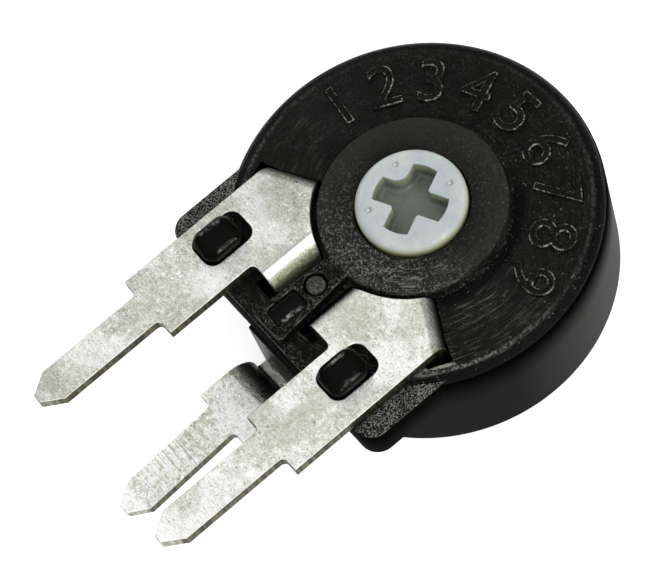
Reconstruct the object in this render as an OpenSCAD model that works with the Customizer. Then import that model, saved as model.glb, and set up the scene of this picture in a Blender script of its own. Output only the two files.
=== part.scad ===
// Round carbon trimmer potentiometer, single turn, cross-recess rotor, three blade pins.
// Units are millimetres. The part lies on its back: z = 0 is the back face, the rotor turns about +Z,
// the blade pins point along -Y.

/* [Housing] */
// Outer diameter of the round housing
body_d = 9.8; // [8.8:0.1:11]
// Height of the front face above the back face
body_h = 3.44; // [3.2:0.02:4.2]
// Radius that breaks the front edge of the round wall
rim_r = 0.26; // [0.08:0.02:0.3]
// Thickness of the round wall
wall_t = 0.6; // [0.45:0.05:0.75]
// Thickness of the front wall
front_t = 0.45; // [0.35:0.05:0.55]
// Diameter of the raised hub around the rotor, at its top
hub_d = 4.92; // [4.6:0.01:5.2]
// Height of the hub and of the bar above the front face, and thickness of the outer terminals
hub_h = 0.32; // [0.26:0.02:0.4]
// Width of the raised bar between the outer terminals, at its outer end
bar_w = 1.12; // [0.9:0.02:1.14]

/* [Terminal block] */
// Width of the block that carries the outer terminals
block_w = 8.28; // [8:0.02:8.8]
// Distance from the rotor axis to the end of the block
block_y = 4.94; // [4.9:0.02:5.2]
// Thickness of the block
block_t = 1.04; // [0.8:0.02:1.3]
// Radius of the outer corners of the block
block_r = 0.52; // [0.2:0.02:0.6]
// Drop of the side ledges below the front face
ledge_drop = 0.05; // [0.02:0.01:0.1]
// Height of the locating pegs above the outer terminals
peg_h = 0.46; // [0.2:0.02:0.8]

/* [Rotor] */
// Diameter of the rotor head
rotor_d = 2.9; // [2.6:0.02:3.1]
// Height of the rotor head above the hub
rotor_h = 0.28; // [0.1:0.02:0.5]
// Radial clearance of the rotor head in the hub bore
rotor_gap = 0.05; // [0.03:0.01:0.1]
// Span of the cross recess across two opposite arms
cross_l = 1.96; // [1.6:0.02:2.1]
// Width of the arms of the cross recess
cross_w = 0.68; // [0.5:0.02:0.8]
// Depth of the cross recess
cross_h = 0.55; // [0.4:0.05:0.7]
// Turn of the rotor from the middle of its travel, as drawn
turn = 25.6; // [-60:0.2:60]
// Half angle of the stop key on the rotor flange
key_angle = 29.7; // [24:0.1:32]
// Half angle of the fixed stop block in the housing
stop_angle = 32.5; // [30:0.1:36]

/* [Terminals] */
// Distance between the two outer pins
pin_pitch = 5.08; // [5:0.02:5.2]
// Offset of the wiper pin behind the outer pins
pin_offset = 2.54; // [2.4:0.02:2.6]
// Width of the blade pins
pin_w = 1.0; // [0.8:0.02:1.2]
// Distance from the rotor axis to the tips of the outer pins
pin_y = 10.34; // [9.4:0.02:11]
// Length of the taper at the pin tips
tip_l = 0.56; // [0.3:0.02:0.8]
// Width of the blunt end of the pin tips
tip_w = 0.26; // [0.15:0.01:0.4]
// Width of the outer terminals above the shoulders
tab_w = 1.96; // [1.8:0.02:2.05]
// Distance from the rotor axis to the shoulders of the outer terminals
seat_y = 6.72; // [6.4:0.02:7.2]
// Thickness of the wiper terminal
wiper_t = 0.3; // [0.24:0.02:0.36]
// Width of the wiper terminal above its shoulders
wiper_w = 1.84; // [1.6:0.02:1.9]
// Backward lean of the wiper pin in degrees
wiper_lean = 6; // [0:0.5:8]

/* [Element] */
// Thickness of the back cover
cover_t = 0.8; // [0.7:0.05:0.9]
// Thickness of the element board
board_t = 0.4; // [0.3:0.05:0.45]
// Thickness of the carbon track and of the end pads
track_t = 0.03; // [0.02:0.01:0.05]
// Width of the carbon track
track_w = 0.8; // [0.6:0.05:0.9]

/* [Hidden] */
$fn = 64;
body_r = body_d / 2;
inner_r = body_r - wall_t;
fit = 0.03;
top_z = body_h + hub_h;
cavity_z = body_h - front_t;
tab_t = hub_h;
tab_x0 = pin_pitch / 2 - tab_w / 2;
tab_x1 = pin_pitch / 2 + tab_w / 2;
hub_draft = 0.09;
bar_taper = 0.24;
arc_r = hub_d / 2 + hub_draft + 0.065;
fold_angle = -28.5;
fold_r = 0.36;
hook_x = bar_w / 2 + 0.09;
hook_dx = -0.1;
hook_r = 0.5;
notch_w = 0.4;
notch_l = 0.7;
hook_z = cavity_z - 0.25;
head_y = -block_y + 0.94;
window_w = tab_w - 0.96;
window_dx = -0.15;
window_y0 = -block_y + 0.08;
window_y1 = window_y0 + 1.48;
window_r = 0.3;
peg_gap = 0.03;
peg_y1 = window_y1 - 0.26;
pip_r = 0.2;
pip_y = -hub_d / 2 - 0.74;
pocket_w = 0.66;
pocket_l = 0.96;
recess_h = 0.16;
post_w = wiper_w + 0.06;
post_y = body_r + 0.13;
board_z = cover_t + board_t;
track_z = board_z + track_t;
track_r = 2.45;
track_angle = 115;
pad_angle = 133;
pad_r = inner_r - 0.2;
head_r = rotor_d / 2;
bore_r = head_r + rotor_gap;
flange_r = head_r + 0.6;
flange_z1 = cavity_z - 0.05;
flange_z0 = flange_z1 - 0.84;
key_r = arc_r - 0.2;
stop_r = flange_r + 0.1;
journal_r = 0.72;
collar_r0 = journal_r + 0.04;
collar_r1 = collar_r0 + 0.3;
collar_z = board_z + 0.1;
ring_r = 1.6;
spring_t = 0.14;
spring_z = flange_z0 - spring_t;
spring_r0 = collar_r1 + 0.14;
spring_r1 = flange_r - 0.15;
spring_gap = 0.02;
finger_w = 0.48;
stake_r = (spring_r0 + spring_r1) / 2;
stake_pin_r = 0.15;
stake_head_h = 0.1;
corner_r = 0.34;
wiper_top = top_z - pin_offset;
wiper_seat = seat_y + 0.28;
wiper_tip = pin_y + 0.09;
bend_in = 0.1;
bend_out = 0.78;
shoulder_r = 0.14;
lap = 0.2;

// Ring sector from r0 to r1 and from z0 to z1, centred on the angle mid
module sector(r0, r1, z0, z1, mid, half) {
  rotate([0, 0, mid - half])
    translate([0, 0, z0])
      rotate_extrude(angle = 2 * half)
        translate([r0, 0])
          square([r1 - r0, z1 - z0]);
}

// Upright block with rounded vertical edges
module soft_block(x0, x1, y0, y1, z0, z1, r) {
  translate([x0 + r, y0, z0])
    cube([x1 - x0 - 2 * r, y1 - y0, z1 - z0]);
  translate([x0, y0 + r, z0])
    cube([x1 - x0, y1 - y0 - 2 * r, z1 - z0]);
  for (x = [x0 + r, x1 - r], y = [y0 + r, y1 - r])
    translate([x, y, z0])
      cylinder(r = r, h = z1 - z0);
}

// Quarter ring of sheet metal, seen from the side
module bend2d(r_out, t) {
  intersection() {
    difference() {
      circle(r = r_out);
      circle(r = r_out - t);
    }
    square([r_out, r_out]);
  }
}

// Side view of a sheet that runs to the right, bends down and ends lower by the given drop
module fold2d(r_out, t, drop) {
  translate([-lap, -t])
    square([lap, t]);
  translate([0, -r_out])
    bend2d(r_out, t);
  translate([r_out - t, -drop])
    square([t, drop - r_out]);
}

// Tapered pin in the plane of the sheet, pointing down from y0 to y1
module pin2d(w, y0, y1) {
  polygon([
    [-w / 2, y0],
    [w / 2, y0],
    [w / 2, y1 + tip_l],
    [tip_w / 2, y1],
    [-tip_w / 2, y1],
    [-w / 2, y1 + tip_l],
  ]);
}

// Fillets where a pin of width w leaves its shoulders at height y
module pin_fillets2d(w, y) {
  for (s = [-1, 1])
    translate([s * w / 2, y])
      difference() {
        translate([s > 0 ? 0 : -shoulder_r, -shoulder_r])
          square(shoulder_r);
        translate([s * shoulder_r, -shoulder_r])
          circle(r = shoulder_r);
      }
}

// Round wall and front wall as one turned shell with a broken front edge
module shell() {
  rotate_extrude()
    difference() {
      union() {
        square([body_r, body_h - rim_r]);
        square([body_r - rim_r, body_h]);
        translate([body_r - rim_r, body_h - rim_r])
          circle(r = rim_r);
      }
      translate([-1, -1])
        square([inner_r + 1, cavity_z + 1]);
    }
}

// Thin block on the pin side that carries the outer terminals
module terminal_block() {
  translate([0, 0, body_h - block_t])
    linear_extrude(block_t)
      difference() {
        union() {
          translate([-block_w / 2, -block_y + block_r])
            square([block_w, block_y - block_r - 2]);
          translate([-block_w / 2 + block_r, -block_y])
            square([block_w - 2 * block_r, block_y - 2]);
          for (s = [-1, 1])
            translate([s * (block_w / 2 - block_r), -block_y + block_r])
              circle(r = block_r);
        }
        circle(r = inner_r - 0.01);
      }
}

// Side ledges of the block, a little lower than the front face and outside the round face
module ledge_cut(s) {
  difference() {
    translate([s > 0 ? tab_x1 + 0.05 : -tab_x1 - 1.05, -block_y - 1, body_h - ledge_drop])
      cube([1, block_y - 1, 1]);
    cylinder(r = body_r - 0.3, h = 10);
  }
}

// Raised bar that widens from the hub to the end of the block
module bar() {
  r = 0.12;
  y = -block_y + 0.09 + r;
  translate([0, 0, body_h - 0.2])
    linear_extrude(hub_h + 0.2) {
      polygon([
        [-bar_w / 2 + bar_taper, -2],
        [-bar_w / 2, y],
        [bar_w / 2, y],
        [bar_w / 2 - bar_taper, -2],
      ]);
      translate([-bar_w / 2 + r, y - r])
        square([bar_w - 2 * r, r]);
      for (s = [-1, 1])
        translate([s * (bar_w / 2 - r), y])
          circle(r = r);
    }
}

// Domed locating peg of one outer terminal
module peg(s) {
  x0 = pin_pitch / 2 + s * window_dx - window_w / 2 + peg_gap;
  x1 = x0 + window_w - 2 * peg_gap;
  y0 = window_y0 + peg_gap;
  dome_r = 0.9 * (x1 - x0);
  mirror([s > 0 ? 0 : 1, 0, 0])
    intersection() {
      soft_block(x0, x1, y0, peg_y1, body_h - 0.2, top_z + peg_h, window_r);
      union() {
        translate([0, -10, 0])
          cube([10, 10, top_z + peg_h - dome_r]);
        translate([(x0 + x1) / 2, 0, top_z + peg_h - dome_r])
          rotate([90, 0, 0])
            cylinder(r = dome_r, h = 10);
      }
    }
}

// Slots through the front wall for the two folds of one outer terminal
module fold_slots(s) {
  mirror([s > 0 ? 0 : 1, 0, 0]) {
    intersection() {
      rotate([0, 0, fold_angle])
        translate([arc_r - 0.06, -fold_r - 0.02, cavity_z - 1])
          cube([3, fold_r + 0.05, 3]);
      translate([0, -5, 0])
        cube([tab_x1 + 0.03, 5, 6]);
    }
    translate([tab_x1, tab_x1 * tan(fold_angle), cavity_z])
      linear_extrude(1)
        polygon([
          [-0.1, -notch_l],
          [notch_w - 0.26, -notch_l],
          [notch_w, -0.06],
          [-0.1, 0.02],
        ]);
    difference() {
      gap = s > 0 ? 0.03 : 0.17;
      translate([hook_x + s * hook_dx - gap, head_y - 0.25, hook_z - 0.06])
        cube([hook_r + gap + 0.02, 2, 3]);
      cylinder(r = arc_r - 0.04, h = 6);
    }
  }
}

// Round recess with a gate pin, and the plain pocket, both in the raised bar
module bar_recesses() {
  pocket_y = -block_y + 0.33;
  difference() {
    translate([0, pip_y, top_z - recess_h])
      cylinder(r = pip_r + 0.12, h = 1);
    translate([0, pip_y, top_z - 2 * recess_h])
      cylinder(r = pip_r, h = 2 * recess_h - 0.01);
  }
  translate([0, pocket_y, top_z - recess_h])
    soft_block(-pocket_w / 2, pocket_w / 2, 0, pocket_l, 0, 1, 0.16);
}

module housing() {
  color([0.09, 0.09, 0.09])
    difference() {
      union() {
        shell();
        translate([0, 0, body_h - 0.1])
          cylinder(r1 = hub_d / 2 + hub_draft, r2 = hub_d / 2, h = hub_h + 0.1);
        terminal_block();
        bar();
        translate([-post_w / 2, -post_y, wiper_t + fit])
          cube([post_w, post_y - inner_r - 0.1, body_h - block_t - wiper_t]);
        peg(-1);
        peg(1);
        sector(stop_r, inner_r + 0.1, track_z, cavity_z + 0.1, -90, stop_angle);
      }
      translate([0, 0, -1])
        cylinder(r = bore_r, h = 10);
      translate([-wiper_w / 2 - fit, -body_r - 1, -1])
        cube([wiper_w + 2 * fit, 2, 1 + wiper_t + fit]);
      fold_slots(-1);
      fold_slots(1);
      ledge_cut(-1);
      ledge_cut(1);
      bar_recesses();
    }
}

module back_cover() {
  color([0.11, 0.11, 0.12])
    difference() {
      cylinder(r = inner_r - fit, h = cover_t);
      translate([0, 0, -1])
        cylinder(r = ring_r + fit, h = 1 + wiper_t + fit);
      translate([-wiper_w / 2 - fit, -body_r, -1])
        cube([wiper_w + 2 * fit, body_r, 1 + wiper_t + fit]);
      translate([0, 0, -1])
        cylinder(r = collar_r1 + fit, h = 5);
    }
}

// Pocket of the cross recess; one land has a rounded corner
module cross_pocket() {
  translate([0, 0, top_z + rotor_h - cross_h]) {
    for (a = [0, 90])
      rotate([0, 0, a])
        translate([-cross_l / 2, -cross_w / 2, 0])
          cube([cross_l, cross_w, 1]);
    difference() {
      translate([-cross_w / 2 - corner_r, cross_w / 2, 0])
        cube([corner_r, corner_r, 1]);
      translate([-cross_w / 2 - corner_r, cross_w / 2 + corner_r, -1])
        cylinder(r = corner_r, h = 3);
    }
  }
}

module rotor() {
  color([0.93, 0.94, 0.92])
    rotate([0, 0, turn]) {
      difference() {
        union() {
          rotate_extrude()
            polygon([
              [0, 0.1],
              [journal_r, 0.1],
              [journal_r, flange_z0],
              [flange_r, flange_z0],
              [flange_r, flange_z1],
              [head_r, flange_z1],
              [head_r, top_z + rotor_h - 0.05],
              [head_r - 0.05, top_z + rotor_h],
              [0, top_z + rotor_h],
            ]);
          sector(flange_r - 0.1, key_r, flange_z0, flange_z1, 90, key_angle);
        }
        cross_pocket();
      }
      for (s = [-1, 1])
        rotate([0, 0, -90 + 40 * s])
          translate([stake_r, 0, spring_z - stake_head_h]) {
            cylinder(r = stake_pin_r, h = stake_head_h + spring_t + 0.1);
            cylinder(r = stake_pin_r + 0.08, h = stake_head_h);
          }
    }
}

module wiper_spring() {
  hub_r = collar_r0 + 0.04;
  hub_z = collar_z + spring_gap;
  tip_z = track_z + spring_gap;
  color([0.80, 0.74, 0.60])
    rotate([0, 0, turn])
      difference() {
        union() {
          rotate_extrude()
            polygon([
              [spring_r0, spring_z],
              [spring_r1, spring_z],
              [spring_r1, flange_z0],
              [spring_r0 - 0.1, flange_z0],
              [collar_r1 - 0.08, hub_z + spring_t],
              [hub_r, hub_z + spring_t],
              [hub_r, hub_z],
              [collar_r1 + 0.02, hub_z],
            ]);
          rotate([90, 0, 90])
            translate([0, 0, -finger_w / 2])
              linear_extrude(finger_w)
                polygon([
                  [spring_r1 - 0.06, flange_z0],
                  [spring_r1 - 0.06, spring_z],
                  [track_r - 0.21, tip_z + 0.06],
                  [track_r - 0.09, tip_z],
                  [track_r + 0.09, tip_z],
                  [track_r + 0.17, tip_z + 0.1],
                  [track_r + 0.1, tip_z + 0.18],
                  [track_r - 0.04, tip_z + 0.18],
                  [spring_r1 + 0.08, flange_z0],
                ]);
        }
        for (s = [-1, 1])
          rotate([0, 0, -90 + 40 * s])
            translate([stake_r, 0, spring_z - 1])
              cylinder(r = stake_pin_r + 0.01, h = 1 + 2 * spring_t);
      }
}

module element_board() {
  color([0.55, 0.36, 0.18])
    translate([0, 0, cover_t])
      difference() {
        cylinder(r = inner_r - fit, h = board_t);
        translate([0, 0, -1])
          cylinder(r = ring_r - 0.2, h = 3);
      }
}

module carbon_track() {
  color([0.05, 0.05, 0.05])
    sector(track_r - track_w / 2, track_r + track_w / 2, board_z, track_z, 90, track_angle);
}

module end_pad(s) {
  mid = 90 - s * (track_angle + pad_angle) / 2;
  color([0.75, 0.76, 0.78])
    sector(track_r - track_w / 2, pad_r, board_z, track_z, mid, (pad_angle - track_angle) / 2);
}

module left_end_pad() {
  end_pad(-1);
}

module right_end_pad() {
  end_pad(1);
}

// Flat outline of an outer terminal, which ends just before its two folds
module tab2d(s) {
  fold_x = [hook_x + s * hook_dx + hook_r + lap / 2, tab_x1];
  fold_y = fold_r + lap / 2;
  x0 = pin_pitch / 2 + s * window_dx - window_w / 2;
  x1 = x0 + window_w;
  difference() {
    union() {
      polygon([
        [tab_x0, -seat_y],
        [tab_x1, -seat_y],
        for (x = [fold_x[1], fold_x[0]])
          [x, (x - fold_y * sin(fold_angle)) * tan(fold_angle) - fold_y * cos(fold_angle)],
        [fold_x[0], head_y],
        [tab_x0, head_y],
      ]);
      translate([pin_pitch / 2, 0])
        pin2d(pin_w, -seat_y + 0.01, -pin_y);
      translate([pin_pitch / 2, 0])
        pin_fillets2d(pin_w, -seat_y);
    }
    translate([x0 + window_r, window_y0])
      square([window_w - 2 * window_r, window_y1 - window_y0]);
    translate([x0, window_y0 + window_r])
      square([window_w, window_y1 - window_y0 - 2 * window_r]);
    for (x = [x0 + window_r, x1 - window_r], y = [window_y0 + window_r, window_y1 - window_r])
      translate([x, y])
        circle(r = window_r);
  }
}

// Outer terminal: flat tab and pin, leg folded down to the end pad, hook folded down beside the bar
module outer_terminal(s) {
  difference() {
    intersection() {
      union() {
        translate([0, 0, top_z - tab_t])
          linear_extrude(tab_t)
            tab2d(s);
        rotate([0, 0, fold_angle])
          translate([0, -fold_r, top_z])
            rotate([90, 0, 90])
              linear_extrude(6)
                fold2d(fold_r, tab_t, top_z - track_z);
        translate([hook_x + s * hook_dx + hook_r, -2, top_z])
          rotate([90, 0, 0])
            linear_extrude(-head_y - 2)
              mirror([1, 0])
                fold2d(hook_r, tab_t, top_z - hook_z);
      }
      translate([0, -20, 0])
        cube([tab_x1, 20, 10]);
    }
    cylinder(r = arc_r, h = 10);
  }
}

module left_terminal() {
  color([0.78, 0.77, 0.72])
    mirror([1, 0, 0])
      outer_terminal(-1);
}

module right_terminal() {
  color([0.78, 0.77, 0.72])
    outer_terminal(1);
}

// Side view of the wiper terminal from its ring to the tip; x is the distance from the rotor axis
module wiper_side2d() {
  x_in = post_y + 0.19;
  x_out = x_in + bend_in + bend_out;
  square([x_in, wiper_t]);
  translate([x_in, wiper_t + bend_in])
    mirror([0, 1])
      bend2d(bend_in + wiper_t, wiper_t);
  translate([x_in + bend_in, wiper_t + bend_in])
    square([wiper_t, wiper_top - bend_out - wiper_t - bend_in]);
  translate([x_out, wiper_top - bend_out])
    mirror([1, 0])
      bend2d(bend_out, wiper_t);
  polygon([
    [x_out, wiper_top],
    [x_out, wiper_top - wiper_t],
    [wiper_seat, wiper_top - wiper_t],
    [wiper_tip, wiper_top - wiper_t - (wiper_tip - wiper_seat) * tan(wiper_lean)],
    [wiper_tip, wiper_top - (wiper_tip - wiper_seat) * tan(wiper_lean)],
    [wiper_seat, wiper_top],
  ]);
}

// Wiper terminal: ring and collar at the back, strip, double bend up to the pin plane, pin
module wiper_terminal() {
  color([0.78, 0.77, 0.72])
    difference() {
      union() {
        cylinder(r = ring_r, h = wiper_t);
        cylinder(r = collar_r1, h = collar_z);
        intersection() {
          translate([wiper_w / 2, 0, 0])
            rotate([90, 0, -90])
              linear_extrude(wiper_w)
                wiper_side2d();
          translate([0, 0, -1])
            linear_extrude(5) {
              translate([-wiper_w / 2, -wiper_seat])
                square([wiper_w, wiper_seat]);
              pin2d(pin_w, -wiper_seat + 0.01, -wiper_tip);
              pin_fillets2d(pin_w, -wiper_seat);
            }
        }
      }
      translate([0, 0, -1])
        cylinder(r = collar_r0, h = 5);
    }
}

housing();
back_cover();
rotor();
wiper_spring();
element_board();
carbon_track();
left_end_pad();
right_end_pad();
left_terminal();
right_terminal();
wiper_terminal();
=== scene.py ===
import math

import bmesh
import bpy
from bmesh.types import BMEdge, BMVert
from mathutils import Matrix, Vector


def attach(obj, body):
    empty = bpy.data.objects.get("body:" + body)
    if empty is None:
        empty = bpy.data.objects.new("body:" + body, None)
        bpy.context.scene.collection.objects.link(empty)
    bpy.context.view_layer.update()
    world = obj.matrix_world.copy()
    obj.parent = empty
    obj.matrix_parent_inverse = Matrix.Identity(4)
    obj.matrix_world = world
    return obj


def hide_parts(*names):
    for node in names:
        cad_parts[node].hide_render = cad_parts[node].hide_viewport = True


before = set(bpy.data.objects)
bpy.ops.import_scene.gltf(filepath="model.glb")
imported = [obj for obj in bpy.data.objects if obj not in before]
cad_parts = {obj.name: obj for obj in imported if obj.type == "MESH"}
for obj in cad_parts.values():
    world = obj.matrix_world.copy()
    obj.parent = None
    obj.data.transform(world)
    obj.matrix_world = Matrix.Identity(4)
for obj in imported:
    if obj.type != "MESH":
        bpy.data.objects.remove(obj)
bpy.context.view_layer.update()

scene = bpy.context.scene

# ---------------------------------------------------------------------------------------------
# Housing shell: the round wall, the front wall and the raised hub around the rotor.
# Black glass-filled plastic, moulded in one piece with the block, bar, pegs and post below.
# The mould's turned face leaves fine rings and a speckled skin on the front.
MM = 0.001
housing_r = 4.9
wall_in_r = 4.3
face_z = 3.44
rim_r = 0.26
hub_r = 2.46
hub_foot = 2.53
top_z = 3.76
bore_r = 1.5
cavity_z = 2.99
fold_slot = [(2.06, -1.55), (2.26, -1.19), (3.55, -1.89), (3.55, -2.36)]
fold_slot_z = 2.0
notch = [(3.40, -1.80), (3.87, -1.98), (3.61, -2.59), (3.40, -2.59)]
hook_slot_x = {-1: (0.58, 1.27), 1: (0.52, 1.07)}
hook_slot_z = 2.68
slot_top = 3.85
strip_slot_half = 0.94
strip_slot_y = (-5.9, -3.9)
strip_slot_top = 0.32


def arc(cx, cy, r, start, end, steps):
    """Points of a circular arc, angles in degrees."""
    turns = [math.radians(start + (end - start) * i / steps) for i in range(steps + 1)]
    return [(cx + r * math.cos(t), cy + r * math.sin(t)) for t in turns]


def oblong(half, y0, y1):
    """Outline of a rectangle centred on the middle line."""
    return [(-half, y0), (half, y0), (half, y1), (-half, y1)]


def corners(bm, outline, z):
    """Vertices of a flat outline at one height."""
    return [bm.verts.new((x, y, z)) for x, y in outline]


def closed(bm, verts):
    """Edges that join vertices in a ring."""
    return [bm.edges.new(pair) for pair in zip(verts, verts[1:] + verts[:1])]


def only(kind, geometry):
    """The vertices, or the edges, of what an operator gives back."""
    return [g for g in geometry if isinstance(g, kind)]


def turned(bm, profile, steps=256):
    """A closed section of radius and height points, turned once round the rotor axis."""
    verts = [bm.verts.new((r, 0, z)) for r, z in profile]
    bmesh.ops.spin(bm, geom=verts + closed(bm, verts), cent=(0, 0, 0), axis=(0, 0, 1), dvec=(0, 0, 0),
                   angle=math.tau, steps=steps, use_merge=True)
    bmesh.ops.remove_doubles(bm, verts=bm.verts, dist=1e-5)
    bmesh.ops.recalc_face_normals(bm, faces=bm.faces)


def slab(bm, outline, low, high):
    """A flat outline pulled up from one height to another."""
    top = bmesh.ops.extrude_face_region(bm, geom=[bm.faces.new(corners(bm, outline, low))])["geom"]
    bmesh.ops.translate(bm, verts=only(BMVert, top), vec=(0, 0, high - low))
    bmesh.ops.recalc_face_normals(bm, faces=bm.faces)


def cut(target, tool_bm):
    """Takes the tool's solid out of the target's mesh."""
    tool_mesh = bpy.data.meshes.new("tool")
    tool_bm.to_mesh(tool_mesh)
    tool_bm.free()
    tool = bpy.data.objects.new("tool", tool_mesh)
    scene.collection.objects.link(tool)
    step = target.modifiers.new("cut", "BOOLEAN")
    step.object, step.operation, step.solver = tool, "DIFFERENCE", "EXACT"
    made = bpy.data.meshes.new_from_object(target.evaluated_get(bpy.context.evaluated_depsgraph_get()))
    target.modifiers.clear()
    target.data = made
    bpy.data.objects.remove(tool)


def solid(bm, name):
    """An object from a mesh drawn in millimetres."""
    mesh = bpy.data.meshes.new(name)
    bm.to_mesh(mesh)
    bm.free()
    piece = bpy.data.objects.new(name, mesh)
    scene.collection.objects.link(piece)
    return piece


def fit_piece(piece, body, node, finish, edge=0.0, sharp=32, segments=2):
    """Brings a piece to metres, breaks its edges, gives it its finish and its CAD body."""
    mesh = piece.data
    mesh.transform(Matrix.Scale(MM, 4))
    mesh.materials.clear()
    mesh.materials.append(finish)
    mesh.shade_smooth()
    mesh.set_sharp_from_angle(angle=math.radians(sharp))
    if edge:
        soft = piece.modifiers.new("edge", "BEVEL")
        soft.width, soft.segments = edge * MM, segments
        soft.limit_method, soft.angle_limit = "ANGLE", math.radians(sharp)
        soft.harden_normals = True
    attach(piece, body)
    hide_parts(node)


def new_finish(name, **sockets):
    """A new material with some sockets of its shader set."""
    material = bpy.data.materials.new(name)
    material.use_nodes = True
    surface = material.node_tree.nodes["Principled BSDF"]
    for socket, value in sockets.items():
        surface.inputs[socket.replace("_", " ")].default_value = value
    return material, material.node_tree, surface


def node(tree, kind, sources=None, **settings):
    """A shader node; sources sets or links its inputs by name or number."""
    made = tree.nodes.new("ShaderNode" + kind)
    for key, value in settings.items():
        setattr(made, key, value)
    for key, value in (sources or {}).items():
        if isinstance(value, bpy.types.NodeSocket):
            tree.links.new(value, made.inputs[key])
        else:
            made.inputs[key].default_value = value
    return made


def maths(tree, operation, a, b=0.0):
    """One sum with two numbers."""
    return node(tree, "Math", {0: a, 1: b}, operation=operation).outputs[0]


def product(tree, first, *others):
    """All the numbers multiplied, in their order."""
    for other in others:
        first = maths(tree, "MULTIPLY", first, other)
    return first


def vectors(tree, operation, a, b=(0, 0, 0), result="Vector"):
    """One sum with two vectors."""
    return node(tree, "VectorMath", {0: a, 1: b}, operation=operation).outputs[result]


def axes(tree, vector):
    """The three parts of a vector."""
    return node(tree, "SeparateXYZ", {0: vector}).outputs


def in_mm(tree):
    """Object coordinates in millimetres."""
    return vectors(tree, "MULTIPLY", node(tree, "TexCoord").outputs["Object"], (1000, 1000, 1000))


def tilts(tree):
    """The three parts of the surface's own direction."""
    return axes(tree, node(tree, "NewGeometry").outputs["Normal"])


def noise(tree, place, scale, detail=2.0, rough=0.5):
    """Cloudy grain between 0 and 1, scale cells to the millimetre."""
    return node(tree, "TexNoise", {"Vector": place, "Scale": scale, "Detail": detail,
                                   "Roughness": rough}).outputs["Fac"]


def span(tree, value, low, high, to_low=0.0, to_high=1.0):
    """Stretches the part of a value between low and high, and cuts off the rest."""
    return node(tree, "MapRange", {"Value": value, "From Min": low, "From Max": high,
                                   "To Min": to_low, "To Max": to_high}).outputs["Result"]


def blend_colour(tree, share, first, second):
    """From the first colour to the second."""
    return node(tree, "Mix", {"Factor": share, 6: first, 7: second}, data_type="RGBA").outputs[2]


def blend_value(tree, share, first, second):
    """From the first number to the second."""
    return node(tree, "Mix", {"Factor": share, 2: first, 3: second}).outputs[0]


def round_axis(tree, place, stretch):
    """Coordinates that run round the rotor axis: along the arc, outwards, and up."""
    x, y, z = axes(tree, place)
    radius = vectors(tree, "LENGTH", vectors(tree, "MULTIPLY", place, (1, 1, 0)), result="Value")
    along = product(tree, maths(tree, "ARCTAN2", x, y), stretch)
    return node(tree, "CombineXYZ", {0: along, 1: radius, 2: z}).outputs[0], radius


def sparks(tree, place, scale, size, share):
    """Scattered bright points in a share of the cells, each with its own strength."""
    cell = node(tree, "TexVoronoi", {"Vector": place, "Scale": scale}).outputs
    pick = node(tree, "SeparateColor", {0: cell["Color"]}).outputs[0]
    return product(tree, span(tree, cell["Distance"], size, size * 0.35), span(tree, pick, 1 - share, 1))


def edge_highlight_mask(tree, high=0.985, low=0.12):
    """The mask for painted highlights: 1 on a rounded edge between a face seen from above and a wall."""
    up = tilts(tree)[2]
    return product(tree, span(tree, up, high, high - 0.1), span(tree, up, low, low + 0.25))


def join_up(tree, surface, base, rough, relief=None, strength=0.0, depth=0.0):
    """Links a finish's colour, roughness and relief, its depth in metres, to its shader."""
    tree.links.new(base, surface.inputs["Base Color"])
    tree.links.new(rough, surface.inputs["Roughness"])
    if relief:
        bump = node(tree, "Bump", {"Height": relief, "Strength": strength, "Distance": depth})
        tree.links.new(bump.outputs[0], surface.inputs["Normal"])


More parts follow.
